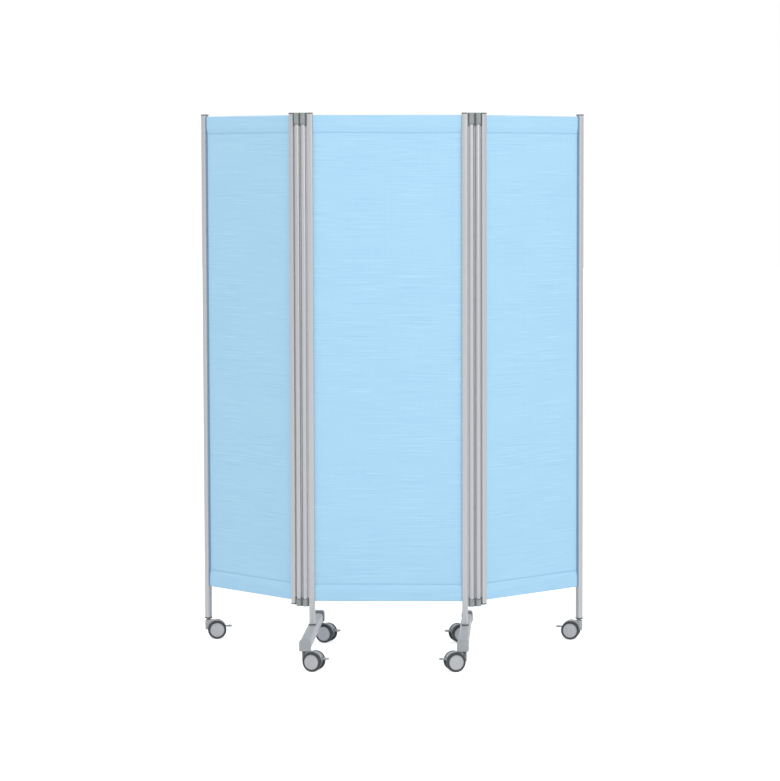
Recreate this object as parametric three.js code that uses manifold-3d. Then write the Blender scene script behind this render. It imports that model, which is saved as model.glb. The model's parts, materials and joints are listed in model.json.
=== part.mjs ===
// Three-panel ward privacy screen on twin-wheel casters, in millimetres, +Z up.
// The centre panel stands on two cross feet. A wing hangs on each side by a double hinge:
// two round barrels in a pair of sleeve brackets, so that the wing folds flat to the front
// or to the back. The front of the screen faces -Y and the wings rest swung to the back.
import * as THREE from 'three';
import Module from 'manifold-3d';
import { mergeVertices } from 'three/addons/utils/BufferGeometryUtils.js';

const wasm = await Module();
wasm.setup();

// Overall sizes and the resting pose
const screenHeight = 1700;
const centreOpening = 462;
const wingOpening = 386;
const wingRestAngle = THREE.MathUtils.degToRad(40.5);

// Fits
const seatGap = 0.3;
const runningGap = 0.35;
const cutOverrun = 2;

// Facet counts
const barrelSides = 20;
const wheelSides = 18;
const boreSides = 16;
const stemSides = 12;
const pinSides = 8;
const lobeSteps = 12;
const fenderSteps = 8;
const cornerSteps = 2;
const beadSteps = 8;
const hemSteps = 3;

// Post extrusion, with a keyhole slot for the fabric's bead
const postWidth = 18;
const postCornerRadius = 3;
const postWall = 1.6;
const slotMouth = 2.4;
const slotRadius = 3.1;

// Hinge: barrels on the posts and the brackets that hold them
const barrelRadius = 8.25;
const barrelBore = 5.5;
const barrelNeckWidth = 4;
const barrelStandOff = 3;
const foldClearance = 1.5;
const bracketWall = 1.7;
const bracketWaist = 11;
const bracketTopHeight = 40;
const bracketBottomHeight = 27;
const bracketFloor = 3;
const bracketBottomZ = 156;
const scallopRadius = 10;
const scallopDrop = 4;
const bracketEdge = 1;
const sealWidth = 3.8;
const sealDepth = 7;
const sealGap = 0.6;

// Caps and plugs
const capPlate = 3;
const capEdge = 0.9;
const capPlugLength = 14;
const wingInnerPostZ = 163;
const casterSocketDiameter = 12;
const casterSocketDepth = 30;
const wingPlugPlate = 4;

// Fabric panels and the rails in their hems
const fabricTopDrop = 7;
const fabricBottomZ = 172;
const fabricThickness = 1;
const hemHeight = 54;
const hemRailHeight = 34;
const hemRailThickness = 6;
const hemRailWall = 1.2;
const hemStitchMargin = 6;
const beadRadius = 2.4;

// Cross feet
const footLength = 516;
const footWidth = 32;
const footHeight = 31;
const footTopRadius = 7;
const footBottomRadius = 3;
const footWall = 3;
const footCapPlate = 7;
const footCapStep = 2;
const footCapEdge = 2.5;
const footCapPlugLength = 9;
const casterInset = 25;
const stemBossRadius = 8;
const collarHeight = 3;
const collarMargin = 2;
const spigotLength = 45;

// Twin-wheel casters
const casterHeight = 66;
const wheelRadius = 30;
const wheelWidth = 12.5;
const wheelTrail = 27;
const tyreShoulder = 2;
const discRadius = 22.5;
const discRecess = 1.2;
const rimRadius = 25;
const rimFloor = 4;
const hubRadius = 7;
const axleRadius = 2.5;
const axleEndWall = 3.3;
const webWidth = 22;
const webGap = 0.5;
const fenderMargin = 2;
const fenderEndAngle = THREE.MathUtils.degToRad(8);
const hoodBossDrop = 32;
const hoodChamfer = 2;
const hoodHubRadius = 9;
const hoodHubAngle = THREE.MathUtils.degToRad(30);
const thrustRadius = 6.5;
const stemRadius = 4;
const stemLength = 24;

// Brake pedals
const pedalPivotReach = 19;
const pedalPivotAngle = THREE.MathUtils.degToRad(30);
const pedalPinRadius = 2;
const pedalBossRadius = 5;
const pedalNeckWidth = 13;
const pedalArmThickness = 4;
const pedalPadStart = 61;
const pedalTip = 77;
const pedalPadWidth = 18;
const pedalTipWidth = 10;
const pedalPadThickness = 3.6;
const pedalPadTaper = 4;

// Which way each caster's wheels trail, from +X towards +Y
const frontCasterTurn = THREE.MathUtils.degToRad(-17);
const backCasterTurn = THREE.MathUtils.degToRad(-20);
const wingCasterTurn = THREE.MathUtils.degToRad(9);

// A polygon's flats lie inside its corners: the corner radius that puts the flats at a pin and its gap
function boreRadius(pinRadius, gap, sides) {
  return (pinRadius + gap) / Math.cos(Math.PI / sides);
}

// Worked out from the sizes above. The barrels' spacing leaves room for the seal between them,
// and the posts are as deep as lets them fold flat on each other.
const hingeSpacing = 2 * (barrelRadius + sealGap) + sealWidth;
const postDepth = hingeSpacing - foldClearance;
const postTopZ = screenHeight - capPlate;
const fabricTopZ = screenHeight - fabricTopDrop;
const barrelFromPostAxis = postWidth / 2 + barrelStandOff + barrelRadius;
const centrePostX = centreOpening / 2 + postWidth / 2;
const barrelTopZ = screenHeight - bracketFloor - seatGap;
const barrelBottomZ = bracketBottomZ + bracketFloor + seatGap;
const neckTopZ = screenHeight - bracketTopHeight - seatGap;
const neckBottomZ = bracketBottomZ + bracketBottomHeight + seatGap;
const footTopZ = casterHeight + footHeight;
const centrePostZ = footTopZ + collarHeight;
const casterY = footLength / 2 - casterInset;
const slotCentre = postWidth / 2 - postWall - Math.sqrt(slotRadius ** 2 - (slotMouth / 2) ** 2);
const chamberLeft = -postWidth / 2 + postWall;
const chamberRight = slotCentre - slotRadius - postWall;
const chamberCentre = (chamberLeft + chamberRight) / 2;
const plugWidth = chamberRight - chamberLeft - 2 * seatGap;
const plugDepth = postDepth - 2 * postWall - 2 * seatGap;
const hoodBossRadius = webWidth / 2;
const wheelInnerFace = webWidth / 2 + webGap;
const axleReach = wheelInnerFace + wheelWidth - axleEndWall - seatGap;
const treadCorner = boreRadius(wheelRadius, 0, wheelSides);
const fenderRadius = wheelRadius + fenderMargin;
const hoodTopZ = wheelRadius + fenderRadius;

// Materials
function finish(color, roughness, metalness) {
  return new THREE.MeshStandardMaterial({ color, roughness, metalness });
}
const aluminium = finish(0xb4b5b8, 0.42, 0.75);
const capPlastic = finish(0x5d5c61, 0.6, 0);
const bracketPlastic = finish(0x8b9192, 0.55, 0);
const footPaint = finish(0xacb1b5, 0.45, 0.1);
const fabricBlue = finish(0xacd6f4, 0.9, 0);
const railAluminium = finish(0x9a9da1, 0.45, 0.8);
const hoodPlastic = finish(0xadb1b1, 0.5, 0);
const wheelPlastic = finish(0x55585c, 0.65, 0);

// Closed solids from three.js geometry, and back again
function solid(geometry) {
  const bare = new THREE.BufferGeometry();
  bare.setAttribute('position', geometry.getAttribute('position'));
  bare.setIndex(geometry.getIndex());
  const merged = mergeVertices(bare);
  return new wasm.Manifold(new wasm.Mesh({
    numProp: 3,
    vertProperties: new Float32Array(merged.getAttribute('position').array),
    triVerts: new Uint32Array(merged.getIndex().array),
  }));
}

function geometryOf(body) {
  const mesh = body.getMesh();
  const geometry = new THREE.BufferGeometry();
  geometry.setAttribute('position', new THREE.BufferAttribute(mesh.vertProperties, mesh.numProp));
  geometry.setIndex(new THREE.BufferAttribute(mesh.triVerts, 1));
  return geometry;
}

// Points of an arc, both ends included
function arc(cx, cy, radius, from, to, steps) {
  const points = [];
  for (let i = 0; i <= steps; i += 1) {
    const angle = from + ((to - from) * i) / steps;
    points.push(new THREE.Vector2(cx + radius * Math.cos(angle), cy + radius * Math.sin(angle)));
  }
  return points;
}

// A rectangle round the origin, its lower corners and upper corners rounded by their own radii
function roundedRectangle(width, height, lowerRadius, upperRadius = lowerRadius) {
  const right = width / 2;
  const top = height / 2;
  const quarter = Math.PI / 2;
  return [
    ...arc(right - lowerRadius, -top + lowerRadius, lowerRadius, -quarter, 0, cornerSteps),
    ...arc(right - upperRadius, top - upperRadius, upperRadius, 0, quarter, cornerSteps),
    ...arc(-right + upperRadius, top - upperRadius, upperRadius, quarter, Math.PI, cornerSteps),
    ...arc(-right + lowerRadius, -top + lowerRadius, lowerRadius, Math.PI, 3 * quarter, cornerSteps),
  ];
}

// A straight extrusion from fromZ up to toZ
function prism(outline, fromZ, toZ) {
  const depth = toZ - fromZ;
  const geometry = new THREE.ExtrudeGeometry(new THREE.Shape(outline), { depth, bevelEnabled: false });
  return geometry.translate(0, 0, fromZ);
}

// A hollow extrusion: the holes run right through it
function hollowPrism(outline, holes, fromZ, toZ) {
  const cuts = holes.map((hole) => solid(prism(hole, fromZ - cutOverrun, toZ + cutOverrun)));
  return cuts.reduce((body, cut) => body.subtract(cut), solid(prism(outline, fromZ, toZ)));
}

// A body through outlines of equal point counts, each at its own height
function loft(sections) {
  const count = sections[0].outline.length;
  const positions = [];
  const index = [];
  for (const { outline, z } of sections) {
    for (const point of outline) positions.push(point.x, point.y, z);
  }
  for (let ring = 0; ring + 1 < sections.length; ring += 1) {
    for (let i = 0; i < count; i += 1) {
      const next = (i + 1) % count;
      const low = ring * count;
      const high = low + count;
      index.push(low + i, low + next, high + next, low + i, high + next, high + i);
    }
  }
  const last = (sections.length - 1) * count;
  for (const [a, b, c] of THREE.ShapeUtils.triangulateShape(sections[0].outline, [])) {
    index.push(c, b, a, last + a, last + b, last + c);
  }
  const geometry = new THREE.BufferGeometry();
  geometry.setAttribute('position', new THREE.Float32BufferAttribute(positions, 3));
  geometry.setIndex(index);
  return geometry;
}

function uprightCylinder(x, y, radius, fromZ, toZ, sides) {
  const geometry = new THREE.CylinderGeometry(radius, radius, toZ - fromZ, sides);
  return geometry.rotateX(Math.PI / 2).translate(x, y, (fromZ + toZ) / 2);
}

// A cylinder along Y, at x and z
function crossCylinder(x, z, radius, fromY, toY, sides) {
  const geometry = new THREE.CylinderGeometry(radius, radius, toY - fromY, sides);
  return geometry.translate(x, (fromY + toY) / 2, z);
}

function box(low, high) {
  const size = new THREE.Vector3().subVectors(high, low);
  const middle = new THREE.Vector3().addVectors(low, high).multiplyScalar(0.5);
  return new THREE.BoxGeometry(size.x, size.y, size.z).translate(middle.x, middle.y, middle.z);
}

// An outline drawn in X and Z, extruded across Y
function acrossY(outline, width) {
  return prism(outline, -width / 2, width / 2).rotateX(Math.PI / 2);
}

// An outline drawn in Y and Z with holes through it, extruded across X
function acrossX(outline, holes, width) {
  const body = hollowPrism(outline, holes, -width / 2, width / 2);
  return geometryOf(body).rotateX(Math.PI / 2).rotateZ(Math.PI / 2);
}

// Post: a hollow bar with the keyhole slot on its +X side and, on a hinged one, the barrel at -X
function postBody(fromZ, toZ) {
  const right = postWidth / 2;
  const mouth = slotMouth / 2;
  const mouthAngle = Math.asin(mouth / slotRadius);
  const bar = roundedRectangle(postWidth, postDepth, postCornerRadius);
  const split = bar.findIndex((point) => point.y > 0);
  const slot = [
    new THREE.Vector2(right, -mouth),
    ...arc(slotCentre, 0, slotRadius, 2 * Math.PI - mouthAngle, mouthAngle, beadSteps),
    new THREE.Vector2(right, mouth),
  ];
  const outline = [...bar.slice(0, split), ...slot, ...bar.slice(split)];
  const chamberTop = postDepth / 2 - postWall;
  const chamber = [
    new THREE.Vector2(chamberLeft, -chamberTop),
    new THREE.Vector2(chamberRight, -chamberTop),
    new THREE.Vector2(chamberRight, chamberTop),
    new THREE.Vector2(chamberLeft, chamberTop),
  ];
  return hollowPrism(outline, [chamber], fromZ, toZ);
}

function hingedPost(fromZ) {
  const barrelX = -barrelFromPostAxis;
  const tube = uprightCylinder(barrelX, 0, barrelRadius, barrelBottomZ, barrelTopZ, barrelSides);
  const bore = uprightCylinder(
    barrelX, 0, barrelBore, barrelBottomZ - cutOverrun, barrelTopZ + cutOverrun, boreSides);
  const neck = box(
    new THREE.Vector3(barrelX + barrelBore, -barrelNeckWidth / 2, neckBottomZ),
    new THREE.Vector3(-postWidth / 2 + postWall / 2, barrelNeckWidth / 2, neckTopZ));
  return geometryOf(
    postBody(fromZ, postTopZ).add(solid(tube)).add(solid(neck)).subtract(solid(bore)));
}

// The wing's outer post is bored out at its foot for the caster's socket
function outerPost() {
  const fromZ = casterHeight + wingPlugPlate;
  const socket = uprightCylinder(
    0, 0, casterSocketDiameter / 2, fromZ - cutOverrun, fromZ + casterSocketDepth, boreSides);
  return geometryOf(postBody(fromZ, postTopZ).subtract(solid(socket)));
}

// End cap: an eased plate over the post's end with a tongue in its chamber, drawn plate up
function postCap() {
  const face = (inset) => roundedRectangle(
    postWidth - 2 * inset, postDepth - 2 * inset, postCornerRadius - inset);
  const plate = loft([
    { outline: face(0), z: 0 },
    { outline: face(0), z: capPlate - capEdge },
    { outline: face(capEdge), z: capPlate },
  ]);
  return geometryOf(solid(plate).add(solid(chamberTongue(-capPlugLength, capPlate / 2))));
}

// The tongue that fills the post's chamber
function chamberTongue(fromZ, toZ) {
  return box(
    new THREE.Vector3(chamberCentre - plugWidth / 2, -plugDepth / 2, fromZ),
    new THREE.Vector3(chamberCentre + plugWidth / 2, plugDepth / 2, toZ));
}

// Caster socket in the wing's outer post: a flange and a sleeve bored for the stem
function wingPlug() {
  const flange = prism(
    roundedRectangle(postWidth, postDepth, postCornerRadius), casterHeight, casterHeight + wingPlugPlate);
  const sleeveRadius = casterSocketDiameter / 2 * Math.cos(Math.PI / boreSides) - seatGap;
  const sleeveTop = casterHeight + wingPlugPlate + casterSocketDepth - seatGap;
  const sleeve = uprightCylinder(0, 0, sleeveRadius, casterHeight + cutOverrun, sleeveTop, boreSides);
  return geometryOf(solid(flange).add(solid(sleeve)).subtract(stemBore(0)));
}

function stemBore(y) {
  return solid(uprightCylinder(
    0, y, boreRadius(stemRadius, seatGap, stemSides),
    casterHeight - cutOverrun, casterHeight + stemLength + seatGap, stemSides));
}

// Hinge bracket: two sleeves in one moulding, closed by a floor, with a scalloped open rim.
// Drawn floor down at z = 0 and open at the top, with its barrels at x = 0 and x = hingeSpacing.
function hingeBracket(height) {
  const lobe = barrelRadius + runningGap + bracketWall;
  const waistAngle = Math.asin(bracketWaist / 2 / lobe);
  const outline = (radius) => [
    ...arc(0, 0, radius, waistAngle, 2 * Math.PI - waistAngle, lobeSteps),
    ...arc(hingeSpacing, 0, radius, Math.PI + waistAngle, 3 * Math.PI - waistAngle, lobeSteps),
  ];
  const shell = loft([
    { outline: outline(lobe - bracketEdge), z: 0 },
    { outline: outline(lobe), z: bracketEdge },
    { outline: outline(lobe), z: height },
  ]);
  let body = solid(shell);
  for (const x of [0, hingeSpacing]) {
    const bore = uprightCylinder(
      x, 0, boreRadius(barrelRadius, runningGap, barrelSides), bracketFloor, height + cutOverrun,
      barrelSides);
    const scallop = crossCylinder(
      x, height + scallopDrop, scallopRadius, -lobe - cutOverrun, lobe + cutOverrun, boreSides);
    body = body.subtract(solid(bore)).subtract(solid(scallop));
  }
  return body;
}

// The lower bracket carries the seal: a strip up between the barrels that shuts the gap to light
function sealedBracket() {
  const stripTop = screenHeight - bracketTopHeight - bracketBottomZ - seatGap;
  const strip = box(
    new THREE.Vector3(
      (hingeSpacing - sealWidth) / 2, -sealDepth / 2, bracketBottomHeight - cutOverrun),
    new THREE.Vector3((hingeSpacing + sealWidth) / 2, sealDepth / 2, stripTop));
  return hingeBracket(bracketBottomHeight).add(solid(strip));
}

// Fabric: one sheet with a pocket hem top and bottom and a bead down each side.
// Drawn standing in X and Z, centred on x = 0.
function fabricPanel(opening) {
  const half = fabricThickness / 2;
  const pocket = hemRailThickness / 2 + seatGap;
  const outer = pocket + fabricThickness;
  const side = [
    ...arc(0, fabricBottomZ + outer, outer, -Math.PI / 2, 0, hemSteps),
    new THREE.Vector2(outer, fabricBottomZ + hemRailHeight),
    new THREE.Vector2(half, fabricBottomZ + hemHeight),
    new THREE.Vector2(half, fabricTopZ - hemHeight),
    new THREE.Vector2(outer, fabricTopZ - hemRailHeight),
    ...arc(0, fabricTopZ - outer, outer, 0, Math.PI / 2, hemSteps),
  ];
  const mirrored = side.slice(1, -1).reverse().map((point) => new THREE.Vector2(-point.x, point.y));
  const pocketHole = (edgeZ, up) => [
    new THREE.Vector2(0, edgeZ + up * (hemHeight - hemStitchMargin)),
    new THREE.Vector2(pocket, edgeZ + up * hemRailHeight),
    ...arc(0, edgeZ + up * outer, pocket, 0, -up * Math.PI, 2 * hemSteps),
    new THREE.Vector2(-pocket, edgeZ + up * hemRailHeight),
  ];
  const width = opening - 2 * seatGap;
  const pockets = [pocketHole(fabricBottomZ, 1), pocketHole(fabricTopZ, -1)];
  const sheet = acrossX([...side, ...mirrored], pockets, width);
  let body = solid(sheet);
  for (const turn of [0, Math.PI]) body = body.add(solid(sideBead(opening).rotateZ(turn)));
  return geometryOf(body);
}

// The fabric's edge: a tongue through the slot's mouth to the round bead behind it
function sideBead(opening) {
  const half = fabricThickness / 2;
  const beadX = opening / 2 + postWidth / 2 - slotCentre;
  const neckAngle = Math.asin(half / beadRadius);
  const sheetX = opening / 2 - seatGap - cutOverrun;
  const outline = [
    new THREE.Vector2(sheetX, half),
    new THREE.Vector2(sheetX, -half),
    ...arc(beadX, 0, beadRadius, neckAngle - Math.PI, Math.PI - neckAngle, beadSteps),
  ];
  return prism(outline, fabricBottomZ + hemHeight, fabricTopZ - hemHeight);
}

// Rail in a hem: a flat oval tube from post to post. up is 1 for the lower hem, -1 for the upper.
function hemRail(opening, edgeZ, up) {
  const wrap = hemRailThickness / 2 + seatGap + fabricThickness;
  const oval = (radius) => [
    ...arc(0, edgeZ + up * (hemRailHeight - hemRailThickness / 2), radius, 0, up * Math.PI, hemSteps),
    ...arc(0, edgeZ + up * wrap, radius, up * Math.PI, up * 2 * Math.PI, hemSteps),
  ];
  const outside = hemRailThickness / 2;
  return acrossX(oval(outside), [oval(outside - hemRailWall)], opening - 2 * seatGap);
}

// Cross foot: a rounded box tube with stem bosses, a collar and the spigot that enters the post.
// Drawn along Y, its collar above the origin; spigotTurn sets the side of the post's chamber.
function foot(spigotTurn) {
  const tubeLength = footLength - 2 * footCapPlate;
  const section = roundedRectangle(footWidth, footHeight, footBottomRadius, footTopRadius);
  const inside = roundedRectangle(
    footWidth - 2 * footWall, footHeight - 2 * footWall, footBottomRadius, footTopRadius - footWall);
  const tube = geometryOf(hollowPrism(section, [inside], -tubeLength / 2, tubeLength / 2))
    .rotateX(Math.PI / 2)
    .translate(0, 0, casterHeight + footHeight / 2);
  const collar = prism(
    roundedRectangle(postWidth + 2 * collarMargin, postDepth + 2 * collarMargin, postCornerRadius),
    footTopZ - footWall / 2, centrePostZ);
  const spigot = chamberTongue(footTopZ, centrePostZ + spigotLength).rotateZ(spigotTurn);
  let body = solid(tube).add(solid(collar)).add(solid(spigot));
  for (const y of [-casterY, casterY]) {
    const boss = uprightCylinder(
      0, y, stemBossRadius, casterHeight + footWall / 2, footTopZ - footWall / 2, stemSides);
    body = body.add(solid(boss)).subtract(stemBore(y));
  }
  return geometryOf(body);
}

// Foot end cap: an eased plate that stands proud of the tube, with a plug in it, drawn with its
// outer face at +Z
function footEndCap() {
  const face = (proud) => roundedRectangle(
    footWidth + 2 * proud, footHeight + 2 * proud, footBottomRadius + proud, footTopRadius + proud);
  const plate = loft([
    { outline: face(footCapStep), z: 0 },
    { outline: face(footCapStep), z: footCapPlate - footCapEdge },
    { outline: face(footCapStep - footCapEdge), z: footCapPlate },
  ]);
  const plugInset = footWall + seatGap;
  const plug = prism(
    roundedRectangle(
      footWidth - 2 * plugInset, footHeight - 2 * plugInset, footBottomRadius, footTopRadius - footWall),
    -footCapPlugLength, footCapPlate - footCapEdge);
  return geometryOf(solid(plate).add(solid(plug)));
}

// Caster hood, with the stem on z and the wheels trailing to +X: a web between the wheels that
// ends in a fender, a round boss under the stem, the axle, and ears for the brake pedal's pin
function casterHood() {
  const axle = solid(crossCylinder(
    wheelTrail, wheelRadius, axleRadius, -axleReach, axleReach, pinSides));
  const thrust = solid(uprightCylinder(
    0, 0, thrustRadius, hoodTopZ - cutOverrun, casterHeight - seatGap, stemSides));
  const stem = solid(uprightCylinder(
    0, 0, stemRadius, hoodTopZ - cutOverrun, casterHeight + stemLength, stemSides));
  return geometryOf(
    hoodBoss().add(hoodWeb()).subtract(pedalSlot()).subtract(pedalBore()).add(thrust).add(stem)
      .add(axle));
}

// The boss, as wide as the web and chamfered round its top
function hoodBoss() {
  const circle = (radius) => arc(0, 0, radius, 0, 2 * Math.PI, boreSides).slice(1);
  return solid(loft([
    { outline: circle(hoodBossRadius), z: hoodTopZ - hoodBossDrop },
    { outline: circle(hoodBossRadius), z: hoodTopZ - hoodChamfer },
    { outline: circle(hoodBossRadius - hoodChamfer), z: hoodTopZ },
  ]));
}

// The web from the stem over the wheels and back round the hub, its fender's edges chamfered
function hoodWeb() {
  const half = webWidth / 2;
  const sideView = (inset) => [
    new THREE.Vector2(0, hoodTopZ - hoodBossDrop),
    ...arc(wheelTrail, wheelRadius, hoodHubRadius, -Math.PI + hoodHubAngle, -hoodHubAngle, cornerSteps),
    ...arc(wheelTrail, wheelRadius, fenderRadius - inset, fenderEndAngle, Math.PI / 2, fenderSteps),
    new THREE.Vector2(0, hoodTopZ - inset),
  ];
  const slab = loft([
    { outline: sideView(hoodChamfer), z: -half },
    { outline: sideView(0), z: -half + hoodChamfer },
    { outline: sideView(0), z: half - hoodChamfer },
    { outline: sideView(hoodChamfer), z: half },
  ]);
  return solid(slab.rotateX(Math.PI / 2));
}

function pedalPivot() {
  return new THREE.Vector2(
    wheelTrail + pedalPivotReach * Math.cos(pedalPivotAngle),
    wheelRadius + pedalPivotReach * Math.sin(pedalPivotAngle));
}

// The slot between the ears is open to the rear and below, where the pedal swings
function pedalSlot() {
  const pivot = pedalPivot();
  const half = pedalNeckWidth / 2 + seatGap;
  const roof = pedalBossRadius + seatGap;
  return solid(box(
    new THREE.Vector3(pivot.x - roof, -half, 0),
    new THREE.Vector3(wheelTrail + fenderRadius + cutOverrun, half, pivot.y + roof)));
}

function pedalBore() {
  const pivot = pedalPivot();
  return solid(crossCylinder(
    pivot.x, pivot.y, boreRadius(pedalPinRadius, runningGap, pinSides), -webWidth, webWidth, pinSides));
}

// Brake pedal: a boss and pin between the hood's ears, an arm, and a tapered pad behind the wheels
function brakePedal() {
  const pivot = pedalPivot();
  const arm = pedalArmThickness / 2;
  const armEnd = pedalPadStart + pedalPadTaper;
  const armAngle = Math.asin(arm / pedalBossRadius);
  const neck = acrossY([
    ...arc(pivot.x, pivot.y, pedalBossRadius, armAngle, 2 * Math.PI - armAngle, pinSides),
    new THREE.Vector2(armEnd, pivot.y - arm),
    new THREE.Vector2(armEnd, pivot.y + arm),
  ], pedalNeckWidth);
  const halfPad = pedalPadWidth / 2;
  const halfTip = pedalTipWidth / 2;
  const halfNeck = pedalNeckWidth / 2;
  const pad = prism([
    new THREE.Vector2(pedalPadStart, -halfNeck),
    new THREE.Vector2(pedalPadStart + pedalPadTaper, -halfPad),
    new THREE.Vector2(pedalTip - pedalPadTaper, -halfPad),
    new THREE.Vector2(pedalTip, -halfTip),
    new THREE.Vector2(pedalTip, halfTip),
    new THREE.Vector2(pedalTip - pedalPadTaper, halfPad),
    new THREE.Vector2(pedalPadStart + pedalPadTaper, halfPad),
    new THREE.Vector2(pedalPadStart, halfNeck),
  ], pivot.y - pedalPadThickness / 2, pivot.y + pedalPadThickness / 2);
  const pinReach = webWidth / 2 - seatGap;
  const pin = crossCylinder(pivot.x, pivot.y, pedalPinRadius, -pinReach, pinReach, pinSides);
  return geometryOf(solid(neck).add(solid(pad)).add(solid(pin)));
}

// Wheel: disc, rim and tyre turned in one, hollow towards the web, with a blind hub bore.
// Drawn with its inner face at y = 0 and its disc at y = wheelWidth. A facet lies lowest, and the
// tread's corners stand out so that this facet is a wheel radius below the axle.
function wheel() {
  const bore = boreRadius(axleRadius, seatGap, wheelSides);
  const boreEnd = wheelWidth - axleEndWall;
  const discY = wheelWidth - discRecess;
  const profile = [
    [0, boreEnd],
    [bore, boreEnd],
    [bore, 0],
    [hubRadius, 0],
    [hubRadius, discY - rimFloor],
    [rimRadius, discY - rimFloor],
    [rimRadius, 0],
    [treadCorner, 0],
    [treadCorner, wheelWidth - tyreShoulder],
    [treadCorner - tyreShoulder, wheelWidth],
    [discRadius + discRecess, wheelWidth],
    [discRadius, discY],
    [0, discY],
  ].map(([radius, y]) => new THREE.Vector2(radius, y));
  return new THREE.LatheGeometry(profile, wheelSides, Math.PI / wheelSides);
}

// Adding named pieces to the scene graph
function piece(group, name, geometry, material) {
  const mesh = new THREE.Mesh(geometry, material);
  mesh.name = name;
  group.add(mesh);
  return mesh;
}

function casterAt(parent, place, x, y, turn) {
  const group = new THREE.Group();
  group.position.set(x, y, 0);
  group.rotation.z = turn;
  parent.add(group);
  piece(group, `caster_hood_${place}`, hoodGeometry, hoodPlastic);
  piece(group, `brake_pedal_${place}`, pedalGeometry, hoodPlastic);
  const outer = piece(group, `caster_wheel_a_${place}`, wheelGeometry, wheelPlastic);
  outer.position.set(wheelTrail, wheelInnerFace, wheelRadius);
  const inner = piece(group, `caster_wheel_b_${place}`, wheelGeometry, wheelPlastic);
  inner.position.set(wheelTrail, -wheelInnerFace, wheelRadius);
  inner.rotation.z = Math.PI;
}

function panelCloth(group, place, opening, x) {
  piece(group, `fabric_${place}`, fabricPanel(opening), fabricBlue).position.x = x;
  piece(group, `hem_rail_top_${place}`, hemRail(opening, fabricTopZ, -1), railAluminium).position.x = x;
  piece(group, `hem_rail_bottom_${place}`, hemRail(opening, fabricBottomZ, 1), railAluminium)
    .position.x = x;
}

// The centre frame: side is -1 for the left half and 1 for the right half
function centreHalf(parent, place, side) {
  const half = new THREE.Group();
  half.position.x = side * centrePostX;
  parent.add(half);
  const turn = side < 0 ? 0 : Math.PI;
  piece(half, `centre_post_${place}`, hingedPost(centrePostZ), aluminium).rotation.z = turn;
  const cap = piece(half, `centre_post_cap_${place}`, postCapGeometry, capPlastic);
  cap.position.z = postTopZ;
  cap.rotation.z = turn;
  piece(half, `foot_${place}`, foot(turn), footPaint);
  for (const [end, direction] of [['front', -1], ['back', 1]]) {
    const endCap = piece(half, `foot_end_cap_${end}_${place}`, footCapGeometry, footPaint);
    endCap.position.set(0, direction * (footLength / 2 - footCapPlate), casterHeight + footHeight / 2);
    endCap.rotation.set(Math.PI / 2, direction > 0 ? Math.PI : 0, 0, 'ZXY');
  }
  const mirror = (angle) => (side < 0 ? angle : Math.PI - angle);
  casterAt(half, `front_${place}`, 0, -casterY, mirror(frontCasterTurn));
  casterAt(half, `back_${place}`, 0, casterY, mirror(backCasterTurn));
}

// A wing and its link, built along +X from the hinge and turned into place.
// The link and the wing each take half of the resting angle.
function wingAndLink(parent, place, side) {
  const link = new THREE.Group();
  link.position.x = side * (centrePostX + barrelFromPostAxis);
  link.rotation.z = side < 0 ? Math.PI - wingRestAngle / 2 : wingRestAngle / 2;
  parent.add(link);
  const bottom = piece(
    link, `hinge_bracket_bottom_${place}`, geometryOf(sealedBracket()), bracketPlastic);
  bottom.position.z = bracketBottomZ;
  const top = piece(
    link, `hinge_bracket_top_${place}`, geometryOf(hingeBracket(bracketTopHeight)), bracketPlastic);
  top.position.z = screenHeight;
  top.rotation.x = Math.PI;

  const wing = new THREE.Group();
  wing.position.x = hingeSpacing;
  wing.rotation.z = side * wingRestAngle / 2;
  link.add(wing);
  const innerX = barrelFromPostAxis;
  const outerX = innerX + postWidth + wingOpening;
  piece(wing, `wing_inner_post_${place}`, hingedPost(wingInnerPostZ), aluminium).position.x = innerX;
  piece(wing, `wing_inner_cap_${place}`, postCapGeometry, capPlastic).position.set(innerX, 0, postTopZ);
  const endCap = piece(wing, `wing_inner_end_cap_${place}`, postCapGeometry, capPlastic);
  endCap.position.set(innerX, 0, wingInnerPostZ);
  endCap.rotation.x = Math.PI;
  const outer = piece(wing, `wing_outer_post_${place}`, outerPost(), aluminium);
  outer.position.x = outerX;
  outer.rotation.z = Math.PI;
  const outerCap = piece(wing, `wing_outer_cap_${place}`, postCapGeometry, capPlastic);
  outerCap.position.set(outerX, 0, postTopZ);
  outerCap.rotation.z = Math.PI;
  piece(wing, `wing_outer_plug_${place}`, wingPlug(), capPlastic).position.x = outerX;
  panelCloth(wing, place, wingOpening, innerX + postWidth / 2 + wingOpening / 2);

  // The wheels' turn is given in the room's axes, so the wing's own angle is taken off
  const wingAngle = link.rotation.z + wing.rotation.z;
  const turn = side < 0 ? wingCasterTurn : Math.PI - wingCasterTurn;
  casterAt(wing, `wing_${place}`, outerX, 0, turn - wingAngle);
}

const hoodGeometry = casterHood();
const pedalGeometry = brakePedal();
const wheelGeometry = wheel();
const footCapGeometry = footEndCap();
const postCapGeometry = postCap();

// The origin is on the floor, under the middle of the box round the whole screen
const screen = new THREE.Group();
centreHalf(screen, 'left', -1);
centreHalf(screen, 'right', 1);
panelCloth(screen, 'centre', centreOpening, 0);
wingAndLink(screen, 'left', -1);
wingAndLink(screen, 'right', 1);
screen.updateMatrixWorld(true);
const bounds = new THREE.Box3().setFromObject(screen, true);
const middle = bounds.getCenter(new THREE.Vector3());
screen.position.set(-middle.x, -middle.y, -bounds.min.z);

export default screen;
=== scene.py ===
import json
import math

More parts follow.
